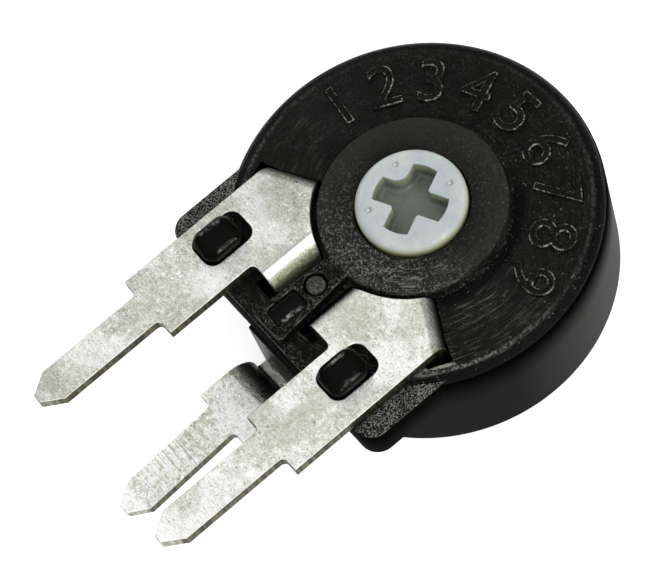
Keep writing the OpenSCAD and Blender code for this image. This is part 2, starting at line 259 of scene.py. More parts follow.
def moulded_black(name, skin="plain", rough=0.30, gloss=0.14, edge_glint=0.6, speckle=0.8, tone=1.0, front_z=3.41,
                  grit=19.0, ridge=(0.985, 0.12)):
    """Black moulded plastic: dark, grained and speckled where it faces forward, with painted highlights on its
    edges.
    """
    material, tree, surface = new_finish(name, Specular_IOR_Level=gloss)
    place = in_mm(tree)
    x, y, z = axes(tree, place)
    round_place, radius = round_axis(tree, place, 0.32)
    front = span(tree, z, front_z - 0.09, front_z)
    cloud = noise(tree, place, 1.1, 3.0, 0.6)
    grain = noise(tree, place, 13.0, 3.0, 0.65)
    relief = grain
    patch = span(tree, noise(tree, place, 1.7, 2.0, 0.5), 0.36, 0.62, 0.2, 1.0)
    # Painted light: marks grow brighter towards +X, the lit side.
    lit = span(tree, x, -3.2, 2.4, 0.3, 1.0)
    base = blend_colour(tree, cloud, (0.0020 * tone, 0.0021 * tone, 0.0018 * tone, 1),
                        (0.0070 * tone, 0.0074 * tone, 0.0062 * tone, 1))
    freckle = product(tree, span(tree, noise(tree, place, grit, 2.0, 0.7), 0.50, 0.64), front, patch, speckle)
    spot = max(1.0, speckle) * 0.08
    base = blend_colour(tree, freckle, base, (spot, spot * 1.06, spot * 0.92, 1))
    # Light specks, partly dust and partly painted highlight, stronger on the lit side.
    dust_and_glints = maths(tree, "MAXIMUM", sparks(tree, place, 8.0, 0.26, 0.12), sparks(tree, place, 14.0, 0.36, 0.20))
    dust_and_glints = product(tree, dust_and_glints, min(speckle * 1.7, 1.0), patch, product(tree, front, lit))
    if skin == "turned":
        # Rings round the hub on the flat front, with painted sheen along them, brightest towards the lit lower
        # right.
        streak = noise(tree, round_place, 19.0, 3.0, 0.6)
        on_face = span(tree, radius, 2.50, 2.60)
        rings = maths(tree, "ADD", product(tree, streak, 0.9), product(tree, grain, 0.25))
        relief = blend_value(tree, on_face, grain, rings)
        scratch_and_sheen = product(tree, span(tree, streak, 0.53, 0.72), product(tree, front, on_face),
                          span(tree, y, 1.2, -1.0, 0.12, 1.0), product(tree, patch, lit))
        base = blend_colour(tree, scratch_and_sheen, base, (0.150, 0.158, 0.135, 1))
        # The hub's top: greyer and pitted, with light specks towards the block, partly painted highlight brightest
        # on the lit lower right.
        hub = product(tree, span(tree, radius, 2.49, 2.42), span(tree, radius, 1.5, 2.3, 0.35, 1.0))
        base = blend_colour(tree, product(tree, hub, 0.7), base, (0.0380, 0.0400, 0.0340, 1))
        hollow = product(tree, span(tree, noise(tree, place, 10.0, 3.0, 0.7), 0.50, 0.38), hub)
        coarse = product(tree, span(tree, y, 0.8, -1.4, 0.25, 0.95), span(tree, x, -1.9, 0.3, 0.35, 1.0))
        base = blend_colour(tree, product(tree, hollow, coarse), base, (0.0030, 0.0032, 0.0028, 1))
        granules_and_glints = product(tree, span(tree, noise(tree, place, 15.0, 2.0, 0.7), 0.52, 0.66),
                           span(tree, y, 0.3, -1.8, 0.08, 1.0))
        arcs = product(tree, span(tree, streak, 0.54, 0.70), span(tree, x, -0.6, 1.0), span(tree, y, 0.2, -0.8))
        granules_and_glints = product(tree, maths(tree, "MAXIMUM", granules_and_glints, arcs), span(tree, x, -2.0, 0.2, 0.30, 1.0),
                           span(tree, z, 3.6, 3.7))
        base = blend_colour(tree, granules_and_glints, base, (0.230, 0.240, 0.205, 1))
        # Painted shadow on the face at the foot of the hub, painted highlight along the brink of the front, painted
        # shade on the shoulder outside it.
        foot = product(tree, span(tree, radius, 2.50, 2.54), span(tree, radius, 2.98, 2.80),
                       span(tree, x, 0.9, 1.7), span(tree, y, -1.9, -1.0))
        base = blend_colour(tree, foot, base, (0.0016, 0.0017, 0.0015, 1))
        above_back = span(tree, z, 1.0, 1.1)
        clear_of_block = span(tree, y, -3.15, -2.95)
        brink = product(tree, span(tree, radius, 4.47, 4.53), span(tree, radius, 4.62, 4.57), above_back,
                        span(tree, y, 1.0, -2.4, 0.16, 1.0),
                        span(tree, noise(tree, place, 12.0, 2.0, 0.7), 0.44, 0.64, 0.06, 1.0), lit, clear_of_block)
        base = blend_colour(tree, brink, base, (0.30, 0.31, 0.27, 1))
        shoulder = product(tree, span(tree, radius, 4.60, 4.68), clear_of_block)
        base = blend_colour(tree, shoulder, base, (0.0016, 0.0016, 0.0015, 1))
    # Painted highlights on the rounded edges facing forward, broken up by grain and cloud.
    glints = product(tree, span(tree, grain, 0.42, 0.60),
                     span(tree, noise(tree, place, 3.2, 2.0, 0.6), 0.44, 0.60, 0.08, 1.0), edge_glint)
    edge = product(tree, edge_highlight_mask(tree, *ridge), front, glints)
    if skin == "turned":
        # Painted highlight on the lip of the notch beside the right terminal.
        lip = product(tree, span(tree, radius, 4.36, 4.40), span(tree, radius, 4.48, 4.44), above_back,
                      product(tree, span(tree, x, 3.50, 3.58), span(tree, y, -1.95, -2.1)),
                      span(tree, grain, 0.40, 0.52, 0.3, 1.6))
        edge = maths(tree, "MAXIMUM", product(tree, edge, span(tree, radius, 4.55, 4.45)), lip)
    base = blend_colour(tree, edge, base, (0.36, 0.37, 0.32, 1))
    base = blend_colour(tree, dust_and_glints, base, (0.40, 0.41, 0.36, 1))
    relief = product(tree, relief, span(tree, front, 0, 1, 0.3, 1.0))
    join_up(tree, surface, base, span(tree, grain, 0.3, 0.7, rough - 0.08, rough + 0.14), relief, 0.9, 0.00009)
    return material


def matt_wall():
    """The drafted side walls: duller than the front, with painted light towards +Y and painted shade darkest below
    the rim.
    """
    material, tree, surface = new_finish("black_wall", Specular_IOR_Level=0.05, IOR=1.16)
    place = in_mm(tree)
    _, y, z = axes(tree, place)
    cloud = noise(tree, place, 0.7, 3.0, 0.55)
    grain = noise(tree, place, 18.0, 2.0, 0.6)
    base = blend_colour(tree, cloud, (0.0100, 0.0102, 0.0098, 1), (0.0140, 0.0143, 0.0135, 1))
    # Painted light: the wall lighter towards +Y, the side away from the pins.
    base = blend_colour(tree, span(tree, y, -0.9, 2.6), base, (0.072, 0.074, 0.070, 1))
    # Painted shade: the wall darkest just below the rim.
    base = blend_colour(tree, span(tree, z, 2.1, 3.15), base, (0.0012, 0.0012, 0.0010, 1))
    rough = maths(tree, "ADD", span(tree, z, 2.0, 3.2, 0.42, 0.80), span(tree, grain, 0.3, 0.7, -0.04, 0.05))
    join_up(tree, surface, base, rough, grain, 0.3, 0.00002)
    return material


def wall_finish(piece, finish, below=9.0):
    """Gives the upright faces of a piece their own finish."""
    piece.data.materials.append(finish)
    for face in piece.data.polygons:
        if abs(face.normal.z) < 0.6 and face.center.z < below * MM:
            face.material_index = 1


shell_bm = bmesh.new()
turned(shell_bm, [(wall_in_r, 0.0), (housing_r - 0.04, 0.0), (housing_r, 0.04)]
       + arc(housing_r - rim_r, face_z - rim_r, rim_r, 0, 90, 8)
       + [(hub_foot + 0.04, face_z), (hub_foot, face_z + 0.03)]
       + arc(hub_r - 0.055, top_z - 0.06, 0.06, 0, 90, 5)
       + [(bore_r + 0.05, top_z), (bore_r + 0.015, top_z - 0.015), (bore_r, top_z - 0.05)]
       + [(bore_r, cavity_z), (wall_in_r, cavity_z)])
shell = solid(shell_bm, "housing_shell")


def cut_slots(target):
    """The slots through the front wall that take the folds of the two outer terminals."""
    for side in (-1, 1):
        near, far = hook_slot_x[side]
        hook_slot = [(near, -4.25), (far, -4.25), (far, -2.28), (near, -2.53)]
        for outline, low in ((fold_slot, fold_slot_z), (notch, cavity_z), (hook_slot, hook_slot_z)):
            bm = bmesh.new()
            slab(bm, [(side * x, y) for x, y in outline], low, slot_top)
            cut(target, bm)


cut_slots(shell)
strip_slot_bm = bmesh.new()
slab(strip_slot_bm, oblong(strip_slot_half, *strip_slot_y), -1.0, strip_slot_top)
cut(shell, strip_slot_bm)
black_face = moulded_black("black_face", skin="turned", gloss=0.07, edge_glint=0.12, speckle=0.28)
black_wall = matt_wall()
fit_piece(shell, "base", "housing", black_face)
wall_finish(shell, black_wall, 3.36)

# ---------------------------------------------------------------------------------------------
# Terminal block: the flat ledge on the pin side that carries the outer terminals.
# Part of the housing moulding; its side ledges lie a little lower than the front face.
block_x = 4.14
block_end = -4.94
block_low = 2.40
block_corner = 0.52
ledge_z = 3.39
wall_mid_r = 4.45
seat_x = 3.57
seat_y = (-4.92, -3.2)
seat_low = 3.2
seat_drop = 0.004


def circle(cx, cy, r, count):
    """Evenly spaced points all the way round a circle."""
    return arc(cx, cy, r, 0, 360 - 360 / count, count - 1)


def tongue(half, end, r, root_half, root_y, steps):
    """Outline of a strip with two rounded corners at its end, counter-clockwise."""
    return (arc(-half + r, end + r, r, 180, 270, steps) + arc(half - r, end + r, r, 270, 360, steps)
            + [(root_half, root_y), (-root_half, root_y)])


black_side = moulded_black("black_side", gloss=0.10, edge_glint=0.9, speckle=3.6, grit=25.0)
black_seat = moulded_black("black_seat", rough=0.24, gloss=0.07, edge_glint=0.5, speckle=1.1)
block_bm = bmesh.new()
slab(block_bm, tongue(block_x, block_end, block_corner, block_x, -2.2, 10), block_low, ledge_z)
block = solid(block_bm, "housing_block")
inside_bm = bmesh.new()
slab(inside_bm, circle(0, 0, wall_mid_r, 96), 2.0, 4.0)
cut(block, inside_bm)
cut_slots(block)
fit_piece(block, "base", "housing", black_side, edge=0.035, sharp=40, segments=3)
wall_finish(block, black_wall)

seat_bm = bmesh.new()
slab(seat_bm, oblong(seat_x, *seat_y), seat_low, face_z - seat_drop)
seat = solid(seat_bm, "housing_seat")
cut_slots(seat)
fit_piece(seat, "base", "housing", black_seat, edge=0.03, sharp=40)

# ---------------------------------------------------------------------------------------------
# Bar: the raised strip from the hub to the end of the block, with a gate pin in a round recess
# and a plain pocket. Part of the housing moulding.
bar_x = 0.56
bar_end = -4.85
bar_corner = 0.12
bar_root_x = 0.32
pip_y = -3.2
pip_r = 0.25
pip_low = 3.5
pip_proud = 0.02
recess_r = 0.32
recess_depth = 0.16
pocket_x = 0.33
pocket_y = (-4.61, -3.65)
pocket_corner = 0.16
bar_low = 3.3
above_all = 4.2


def round_box(x0, x1, y0, y1, r, steps=8):
    """Outline of a rectangle with rounded corners, counter-clockwise."""
    return (arc(x1 - r, y0 + r, r, -90, 0, steps) + arc(x1 - r, y1 - r, r, 0, 90, steps)
            + arc(x0 + r, y1 - r, r, 90, 180, steps) + arc(x0 + r, y0 + r, r, 180, 270, steps))


def pocket_glint(material):
    """Adds the light that lies along the right side of the pocket's floor."""
    tree = material.node_tree
    place = in_mm(tree)
    x, y, z = axes(tree, place)
    pool = product(tree, span(tree, x, 0.05, 0.10), span(tree, x, 0.22, 0.17), span(tree, y, -4.55, -4.42),
                   span(tree, y, -3.72, -3.85), span(tree, z, 3.68, 3.62),
                   span(tree, noise(tree, place, 9.0, 4.0, 0.7), 0.47, 0.62))
    base = tree.nodes["Principled BSDF"].inputs["Base Color"]
    tree.links.new(blend_colour(tree, pool, base.links[0].from_socket, (0.42, 0.43, 0.40, 1)), base)


bar_bm = bmesh.new()
slab(bar_bm, tongue(bar_x, bar_end, bar_corner, bar_root_x, -2.0, 6), bar_low, top_z)
bar = solid(bar_bm, "housing_bar")
recess_bm = bmesh.new()
slab(recess_bm, circle(0, pip_y, recess_r, 36), top_z - recess_depth, above_all)
slab(recess_bm, round_box(-pocket_x, pocket_x, *pocket_y, pocket_corner), top_z - recess_depth, above_all)
cut(bar, recess_bm)
hub_room_bm = bmesh.new()
slab(hub_room_bm, arc(0, 0, hub_r - 0.05, 0, 350, 71), 3.0, above_all)
cut(bar, hub_room_bm)
black_bar = moulded_black("black_bar", rough=0.24, gloss=0.05, edge_glint=0.7, speckle=1.3, front_z=3.75,
                          ridge=(0.93, 0.5))
pocket_glint(black_bar)
fit_piece(bar, "base", "housing", black_bar, edge=0.05, sharp=40, segments=3)
pip_bm = bmesh.new()
slab(pip_bm, circle(0, pip_y, pip_r, 36), pip_low, top_z + pip_proud)
pip = solid(pip_bm, "housing_gate_pin")
fit_piece(pip, "base", "housing",
          moulded_black("black_gate", rough=0.36, edge_glint=0.3, speckle=1.8, tone=9.0), edge=0.06, sharp=40, segments=3)

# ---------------------------------------------------------------------------------------------
# Locating pegs: one domed peg through the window of each outer terminal, glossy from forming.
# Part of the housing moulding.
pin_x = 2.54
window_shift = -0.15
window_half = 0.50
window_y = (-4.86, -3.38)
peg_top = 4.216
peg_dome = 0.30
peg_round = 0.36
peg_corner = 0.30
peg_foot = 3.3
peg_gap = 0.03
peg_end_gap = 0.26


def formed_black():
    """The pegs' glossy skin: near black, with a broken glint along both long shoulders."""
    material, tree, surface = new_finish("black_peg", Specular_IOR_Level=0.05)
    place = in_mm(tree)
    tilt_x, tilt_y, _ = tilts(tree)
    cloud = noise(tree, place, 3.0, 3.0, 0.6)
    grain = noise(tree, place, 12.0, 3.0, 0.7)
    base = blend_colour(tree, cloud, (0.0012, 0.0011, 0.0009, 1), (0.0042, 0.0040, 0.0034, 1))
    along = span(tree, maths(tree, "ABSOLUTE", tilt_y), 0.30, 0.12)
    for near, far, end, shine in ((-0.20, -0.32, -0.52, 0.55), (0.62, 0.72, 0.86, 0.30)):
        band = product(tree, span(tree, tilt_x, near, far), span(tree, tilt_x, end, (far + end) / 2), along,
                       span(tree, cloud, 0.42, 0.60, 0.0, shine), span(tree, grain, 0.40, 0.58, 0.2, 1.0))
        base = blend_colour(tree, band, base, (0.50, 0.50, 0.46, 1))
    join_up(tree, surface, base, span(tree, grain, 0.3, 0.7, 0.12, 0.24), cloud, 0.6, 0.00008)
    return material


glossy_black = formed_black()
for side, name in ((-1, "housing_peg_left"), (1, "housing_peg_right")):
    centre = side * pin_x + window_shift
    half = window_half - peg_gap
    y0, y1 = window_y[0] + peg_gap, window_y[1] - peg_end_gap
    peg_bm = bmesh.new()
    levels = [(0.0, peg_foot)] + [(peg_round * (1 - math.cos(t)), peg_top - peg_dome * (1 - math.sin(t)))
                                  for t in (math.pi / 20 * i for i in range(11))]
    last = None
    for inward, z in levels:
        outline = round_box(centre - half + inward, centre + half - inward, y0 + inward, y1 - inward,
                            min(peg_corner, half - inward - 0.01))
        loop = corners(peg_bm, outline, z)
        edges = closed(peg_bm, loop)
        if last:
            bmesh.ops.bridge_loops(peg_bm, edges=last + edges)
        else:
            peg_bm.faces.new(loop)
        last = edges
    peg_bm.faces.new(loop)
    bmesh.ops.recalc_face_normals(peg_bm, faces=peg_bm.faces)
    peg = solid(peg_bm, name)
    fit_piece(peg, "base", "housing", glossy_black, sharp=60)

# ---------------------------------------------------------------------------------------------
# Post: the flat rib behind the wiper terminal, from the block down to the terminal's strip.
# Part of the housing moulding.
post_half = 0.95
post_y = (-5.03, -4.5)
post_z = (0.33, 2.45)
post_bm = bmesh.new()
slab(post_bm, oblong(post_half, *post_y), *post_z)
post = solid(post_bm, "housing_post")
fit_piece(post, "base", "housing", black_side, edge=0.04, sharp=40)

# ---------------------------------------------------------------------------------------------
# Dial numerals: a plain scale of raised figures round the hub, feet towards the rotor.
# Part of the housing moulding, standing a few hundredths of a millimetre proud of its face.
dial_r = 3.08
dial_first = 172.0
dial_last = 14.0
figures = 9
figure_size = 1.72
figure_up = 0.02
figure_round = 0.075
figure_thin = -0.045
black_figure = moulded_black("black_figure", rough=0.20, gloss=0.08, edge_glint=1.8, speckle=0.15, ridge=(0.94, 0.38))
for i in range(figures):
    turn = math.radians(dial_first + (dial_last - dial_first) * i / (figures - 1))
    words = bpy.data.curves.new("figure", "FONT")
    words.body = str(i + 1)
    words.align_x = "CENTER"
    words.size = figure_size
    words.extrude = figure_up
    words.bevel_depth = figure_round
    words.bevel_resolution = 3
    words.offset = figure_thin
    drawn = bpy.data.objects.new("figure", words)
    scene.collection.objects.link(drawn)
    mesh = bpy.data.meshes.new_from_object(drawn.evaluated_get(bpy.context.evaluated_depsgraph_get()))
    bpy.data.objects.remove(drawn)
    mesh.transform(Matrix.Rotation(turn - math.pi / 2, 4, "Z") @ Matrix.Translation((0, dial_r, face_z)))
    figure = bpy.data.objects.new(f"housing_figure_{i + 1}", mesh)
    scene.collection.objects.link(figure)
    fit_piece(figure, "base", "housing", black_figure)

# ---------------------------------------------------------------------------------------------
# Rotor: white acetal, turned by a driver in its cross recess. One land of the cross has a
# rounded corner as the pointer. A flange and a rear journal sit inside; the flange's stop key is not drawn.
head_r = 1.45
rotor_top = 4.04
cross_half = 0.99
arm_half = 0.34
cross_depth = 0.55
floor_round = 0.13
head_round = 0.18
land_r = 0.34
small_land_r = 0.07
turn_deg = 25.6
rotor_segments = 128
flange_r = 2.05
flange_z = (2.10, 2.94)
journal_r = 0.72
journal_end = 0.10
journal_edge = 0.03
dimple_r = 1.08
dimple_turns = [math.radians(turn_deg + land) for land in (45, 135, 216)]
gate_dimples = [(dimple_r * math.cos(turn), dimple_r * math.sin(turn)) for turn in dimple_turns]


def white_acetal():
    """Milky acetal: cool white on top; painted shade makes its side and recess yellower and darker."""
    material, tree, surface = new_finish("white_acetal", IOR=1.48, Subsurface_Weight=0.4, Subsurface_Scale=0.0004)
    surface.inputs["Subsurface Radius"].default_value = (1.0, 0.95, 0.75)
    place = in_mm(tree)
    cloud = noise(tree, place, 1.6, 3.0, 0.6)
    fine = noise(tree, place, 15.0, 3.0, 0.65)
    base = blend_colour(tree, span(tree, cloud, 0.35, 0.65), (0.50, 0.555, 0.60, 1), (0.64, 0.69, 0.66, 1))
    base = blend_colour(tree, span(tree, fine, 0.62, 0.75, 0.0, 0.5), base, (0.86, 0.88, 0.86, 1))
    _, radius = round_axis(tree, place, 1.0)
    height = axes(tree, place)[2]
    # Painted shade: the side below the top edge turns yellower, and darker still towards the housing.
    skirt = product(tree, span(tree, radius, 1.28, 1.44), span(tree, height, 4.035, 3.88))
    base = blend_colour(tree, skirt, base, (0.50, 0.51, 0.335, 1))
    base = blend_colour(tree, span(tree, height, 3.90, 3.74), base, (0.15, 0.15, 0.080, 1))
    # Painted shade in the cross recess: olive on its upper walls, darker towards its floor.
    inside = span(tree, radius, 1.25, 1.15)
    upper = product(tree, inside, span(tree, height, 4.03, 3.92))
    base = blend_colour(tree, upper, base, (0.33, 0.36, 0.225, 1))
    lower = product(tree, inside, span(tree, height, 3.90, 3.62))
    base = blend_colour(tree, lower, base, (0.165, 0.195, 0.155, 1))
    relief = maths(tree, "ADD", product(tree, cloud, 1.5), product(tree, fine, 0.35))
    # Each dimple: a hollow in the relief, with a ring of painted shade round it and a painted highlight beside it.
    for x, y in gate_dimples:
        spot = vectors(tree, "DISTANCE", place, (x, y, rotor_top), "Value")
        glint = vectors(tree, "DISTANCE", place, (x + 0.01, y - 0.03, rotor_top), "Value")
        relief = maths(tree, "SUBTRACT", relief, span(tree, spot, 0.095, 0.02, 0.0, 2.6))
        base = blend_colour(tree, span(tree, spot, 0.11, 0.05, 0.0, 0.45), base, (0.36, 0.39, 0.38, 1))
        base = blend_colour(tree, span(tree, glint, 0.045, 0.02), base, (1.0, 1.0, 1.0, 1))
    # Painted highlight along the rounded top edge of the cross recess.
    rim = product(tree, edge_highlight_mask(tree), span(tree, height, 3.95, 3.99), span(tree, radius, 1.20, 1.10),
                  span(tree, fine, 0.42, 0.58, 0.1, 0.8))
    base = blend_colour(tree, rim, base, (0.86, 0.88, 0.80, 1))
    join_up(tree, surface, base, span(tree, cloud, 0.35, 0.65, 0.34, 0.22), relief, 0.8, 0.00003)
    return material


def cross_outline():
    """The cross recess: ends on a circle, lands with small corners, one land with a large one."""
    points = []
    reach = math.degrees(math.asin(arm_half / cross_half))
    for arm in range(4):
        r = land_r if arm == 1 else small_land_r
        side = (arc(0, 0, cross_half, -reach, reach, 6)
                + arc(arm_half + r, arm_half + r, r, 270, 180, 10 if arm == 1 else 4))
        turn = Matrix.Rotation(math.pi / 2 * arm, 2)
        points += [tuple(turn @ Vector(point)) for point in side]
    return points


def plate(bm, outline, hole, z):
    """A flat face with a hole; gives back the outline's vertices and the edges of both loops."""
    rim, inner = corners(bm, outline, z), corners(bm, hole, z)
    rim_edges, inner_edges = closed(bm, rim), closed(bm, inner)
    bmesh.ops.triangle_fill(bm, edges=rim_edges + inner_edges, use_beauty=True, normal=(0, 0, 1))
    return rim, rim_edges, inner_edges


rotor_bm = bmesh.new()
_, ring_edges, inner_edges = plate(rotor_bm, circle(0, 0, head_r - head_round, rotor_segments),
                                   cross_outline(), rotor_top)
profile = arc(head_r - head_round, rotor_top - head_round, head_round, 90, 0, 8)[1:] + [
    (head_r, flange_z[1]), (flange_r, flange_z[1]), (flange_r, flange_z[0]), (journal_r, flange_z[0]),
    (journal_r, journal_end + journal_edge), (journal_r - journal_edge, journal_end)]
last_r = head_r - head_round
for r, z in profile:
    grown = bmesh.ops.extrude_edge_only(rotor_bm, edges=ring_edges)["geom"]
    new, ring_edges = only(BMVert, grown), only(BMEdge, grown)
    bmesh.ops.scale(rotor_bm, vec=(r / last_r, r / last_r, 1), verts=new)
    for v in new:
        v.co.z = z
    last_r = r
bmesh.ops.edgeloop_fill(rotor_bm, edges=ring_edges)
grown = bmesh.ops.extrude_edge_only(rotor_bm, edges=inner_edges)["geom"]
floor_edges = only(BMEdge, grown)
for v in only(BMVert, grown):
    v.co.z = rotor_top - cross_depth
bmesh.ops.edgeloop_fill(rotor_bm, edges=floor_edges)
bmesh.ops.bevel(rotor_bm, geom=floor_edges, offset=floor_round, segments=5, profile=0.5, affect="EDGES",
                material=-1, clamp_overlap=False)
bmesh.ops.recalc_face_normals(rotor_bm, faces=rotor_bm.faces)
bmesh.ops.rotate(rotor_bm, cent=(0, 0, 0), matrix=Matrix.Rotation(math.radians(turn_deg), 3, "Z"),
                 verts=rotor_bm.verts)
rotor = solid(rotor_bm, "rotor_body")
fit_piece(rotor, "adjuster", "rotor", white_acetal(), edge=0.055, sharp=40, segments=3)

# ---------------------------------------------------------------------------------------------
# Outer terminals: tinned steel sheet, stamped and folded. The tab lies on the block with the peg
# through its window; one fold goes down to the end of the track, a hook grips beside the bar.
sheet_t = 0.32
tab_x = (1.56, 3.52)
shoulder_y = -6.72
pin_half = 0.5
pin_end = -10.34
taper = 0.56
tip_half = 0.13
shoulder_r = 0.14
arc_r = 2.615
fold_deg = -28.5
fold_r = 0.36
hook_bend_x = 1.15
hook_shift = 0.1
hook_r = 0.50
head_y = -4.0
leg_z = 1.23
hook_z = 2.74
leg_mid = (2.6, -1.9)
hook_mid_y = -3.3
leg_inset = 0.08
tab_corner = 0.14
window_corner = 0.30


def stretched(tree, place, scale, turn=0.0):
    """Coordinates turned about the rotor axis and scaled along each side, for drawn-out grain."""
    return node(tree, "Mapping", {"Vector": place, "Rotation": (0, 0, turn), "Scale": scale}).outputs[0]


def tinned_sheet(name, rolled=0.0, shade=1.0):
    """Bright tin on steel: crackled, pitted and scratched; painted glare in white zones, painted shade and
    highlight lines on the folds.
    """
    material, tree, surface = new_finish(name)
    place = in_mm(tree)
    x, y, _ = axes(tree, place)
    tilt_x, tilt_y, _ = tilts(tree)
    broad = noise(tree, place, 0.55, 3.0, 0.6)
    mottle = noise(tree, place, 5.0, 4.0, 0.75)
    fine = noise(tree, place, 17.0, 3.0, 0.75)
    web = noise(tree, place, 9.0, 5.0, 0.8)
    calm = span(tree, noise(tree, place, 1.5, 3.0, 0.6), 0.40, 0.60, 0.15, 0.75)
    base = blend_colour(tree, span(tree, web, 0.38, 0.64), (0.34, 0.355, 0.265, 1), (0.94, 0.95, 0.90, 1))
    base = blend_colour(tree, calm, base, (0.655, 0.675, 0.575, 1))
    base = blend_colour(tree, span(tree, mottle, 0.52, 0.62, 0.0, 0.6), base, (0.93, 0.935, 0.90, 1))
    base = blend_colour(tree, span(tree, broad, 0.52, 0.58, 0.0, 0.8), base, (0.96, 0.965, 0.93, 1))
    # Painted glare in three white zones, a duller stain, and fine cracks.
    for spot_x, spot_y in ((-1.92, -5.0), (2.0, -5.55), (2.7, -4.5)):
        squeezed = vectors(tree, "MULTIPLY", place, (1.6, 0.8, 0))
        spot = vectors(tree, "DISTANCE", squeezed, (spot_x * 1.6, spot_y * 0.8, 0), "Value")
        spot = product(tree, span(tree, spot, 0.75, 0.25), span(tree, mottle, 0.38, 0.52, 0.4, 0.9))
        base = blend_colour(tree, spot, base, (0.96, 0.965, 0.94, 1))
    base = blend_colour(tree, span(tree, broad, 0.46, 0.40, 0.0, 0.5), base, (0.46, 0.475, 0.385, 1))
    crackle = maths(tree, "ABSOLUTE", maths(tree, "SUBTRACT", noise(tree, place, 4.2, 5.0, 0.7), 0.5))
    crackle = product(tree, span(tree, crackle, 0.016, 0.0),
                      span(tree, noise(tree, place, 1.3, 2.0, 0.5), 0.45, 0.62), 0.8)
    base = blend_colour(tree, crackle, base, (0.17, 0.175, 0.12, 1))
    # Scratches in four directions, two of them bright and two dark.
    for angle, size, strength, shine in ((0.9, 2.6, 0.85, 0.97), (-0.5, 3.1, 0.75, 0.22), (1.9, 2.2, 0.7, 0.95),
                                         (0.2, 2.4, 0.6, 0.26)):
        scratch_and_sheen = noise(tree, stretched(tree, place, (0.8, 3.6, 1.0), angle), size, 3.0, 0.6)
        scratch_and_sheen = maths(tree, "ABSOLUTE", maths(tree, "SUBTRACT", scratch_and_sheen, 0.5))
        scratch_and_sheen = product(tree, span(tree, scratch_and_sheen, 0.014, 0.002),
                          span(tree, noise(tree, place, size * 0.45, 2.0, 0.5), 0.44, 0.58, 0.0, strength))
        base = blend_colour(tree, scratch_and_sheen, base, (shine, shine * 1.01, shine * 0.93, 1))
    base = blend_colour(tree, span(tree, fine, 0.59, 0.66, 0.0, 0.9), base, (0.97, 0.975, 0.96, 1))
    pit = product(tree, span(tree, fine, 0.42, 0.35), span(tree, mottle, 0.52, 0.44))
    base = blend_colour(tree, pit, base, (0.16, 0.165, 0.10, 1))
    drag = noise(tree, stretched(tree, place, (0.8, 9.0, 1.0), 0.9), 2.2, 2.0, 0.5)
    relief = maths(tree, "ADD", fine, product(tree, drag, 0.5))
    relief = maths(tree, "ADD", relief, product(tree, noise(tree, place, 0.5, 1.0, 0.5), 14.0))
    if rolled:
        # Rolled marks across the pin, and a brighter, crusted tin.
        marks = noise(tree, stretched(tree, place, (0.15, 7.0, 1.0)), 2.0, 2.0, 0.5)
        zone = product(tree, span(tree, y, -9.5, -9.1), span(tree, y, -7.1, -7.5))
        relief = maths(tree, "ADD", relief, product(tree, marks, zone, rolled))
        crust = noise(tree, place, 8.5, 5.0, 0.85)
        base = blend_colour(tree, span(tree, crust, 0.48, 0.38, 0.0, 0.6), base, (0.33, 0.345, 0.26, 1))
        base = blend_colour(tree, span(tree, crust, 0.515, 0.57, 0.0, 1.0), base, (1.0, 1.0, 0.98, 1))
        zone = product(tree, zone, span(tree, y, -8.0, -8.5, 0.42, 0.95), span(tree, x, 0.30, 0.0, 0.25, 1.0))
        for low, high, share, tint in ((0.54, 0.64, 1.0, (0.97, 0.975, 0.96, 1)),
                                       (0.46, 0.38, 0.8, (0.34, 0.35, 0.28, 1))):
            base = blend_colour(tree, product(tree, span(tree, marks, low, high, 0.0, share), zone), base, tint)
    # The coined tip: tinned, painted brighter as a highlight on its facets, less on the left pin.
    coined_and_glint = product(tree, span(tree, y, -9.85, -10.02), span(tree, mottle, 0.40, 0.55, 0.25, 1.0),
                     span(tree, x, -2.0, -1.0, 0.2, 1.0))
    base = blend_colour(tree, coined_and_glint, base, (0.97, 0.975, 0.96, 1))
    # The folds: painted shade by the way the sheet faces, with a painted white highlight and a painted grey
    # reflection line where it turns.
    light = product(tree, span(tree, tilt_y, 0.02, 0.13, shade, shade * 0.52),
                    span(tree, tilt_y, 0.30, 0.85, 1.0, 0.25), span(tree, tilt_x, -0.06, -0.92, 1.0, 0.35))
    hook = span(tree, tilt_y, 0.10, 0.03)
    band = product(tree, span(tree, tilt_x, 0.10, 0.16), span(tree, tilt_x, 0.56, 0.44), hook,
                   span(tree, web, 0.36, 0.50, 0.5, 1.0))
    base = blend_colour(tree, band, base, (1.25, 1.25, 1.22, 1))
    band = product(tree, span(tree, tilt_x, 0.02, 0.06), span(tree, tilt_x, 0.14, 0.10), hook,
                   span(tree, mottle, 0.38, 0.52, 0.35, 0.8))
    base = blend_colour(tree, band, base, (0.46, 0.42, 0.50, 1))
    # Painted shade: the left terminal a little darker than the right, and its head darker near the hub.
    head_shade = product(tree, span(tree, y, -3.6, -2.2), span(tree, x, -1.0, -2.4))
    light = product(tree, light, span(tree, x, -3.0, 3.0, 0.88, 1.04), span(tree, head_shade, 0, 1, 1.0, 0.82))
    base = node(tree, "VectorMath", {0: base, "Scale": light}, operation="SCALE").outputs[0]
    # Painted shade and reflection: the hook's steep flank beside the bar turns olive and less metallic.
    flank = span(tree, tilt_x, 0.50, 0.72)
    olive = blend_colour(tree, span(tree, web, 0.40, 0.60), (0.17, 0.185, 0.10, 1), (0.50, 0.52, 0.36, 1))
    base = blend_colour(tree, flank, base, olive)
    tree.links.new(span(tree, flank, 0, 1, 1.0, 0.25), surface.inputs["Metallic"])
    join_up(tree, surface, base, span(tree, mottle, 0.3, 0.7, 0.42, 0.22), relief, 0.7, 0.00003)
    return material


